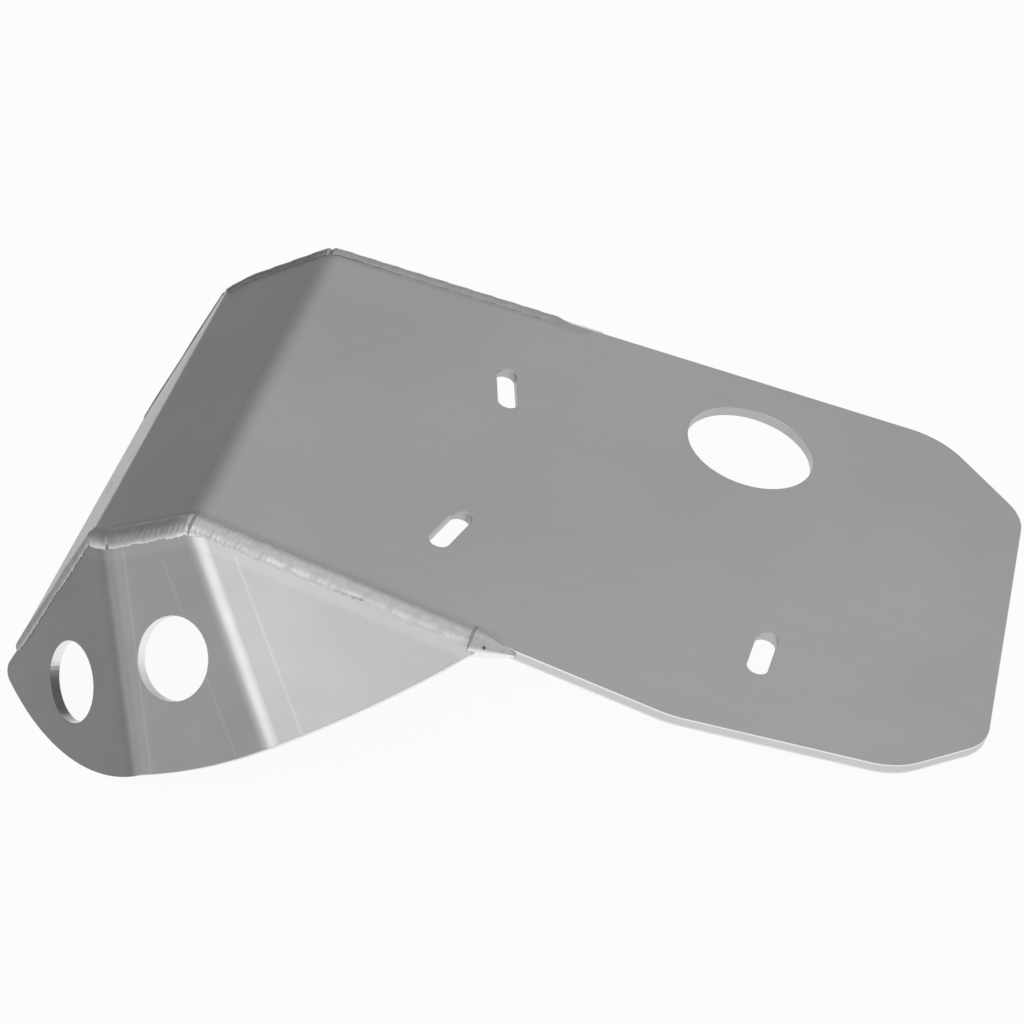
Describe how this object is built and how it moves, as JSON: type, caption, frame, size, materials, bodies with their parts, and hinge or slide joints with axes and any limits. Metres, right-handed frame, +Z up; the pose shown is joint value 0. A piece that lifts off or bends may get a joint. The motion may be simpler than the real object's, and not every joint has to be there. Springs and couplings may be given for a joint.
{
  "type": "motorcycle skid plate",
  "caption": "Folded and welded aluminium skid plate: a flat panel, a folded-down nose and a leaning wing on each side, with bolt slots, a drain hole and access holes.",
  "frame": {"origin": "below the middle of the whole part, on the surface it lies on", "axes": "+Z up, with the plate's ground side up as pictured; +X from the nose to the rear edge; +Y the left side of the motorcycle"},
  "size_m": [0.4586, 0.3748, 0.1214],
  "materials": {
    "main_sheet": "satin, raw",
    "wing_sheet": "satin, raw",
    "weld_metal": "rippled, bright"
  },
  "bodies": {
    "root": {"main_plate": "main_sheet", "right_wing": "wing_sheet", "right_side_weld": "weld_metal", "right_front_weld": "weld_metal", "right_nose_weld": "weld_metal", "left_wing": "wing_sheet", "left_side_weld": "weld_metal", "left_front_weld": "weld_metal", "left_nose_weld": "weld_metal"}
  },
  "joints": []
}
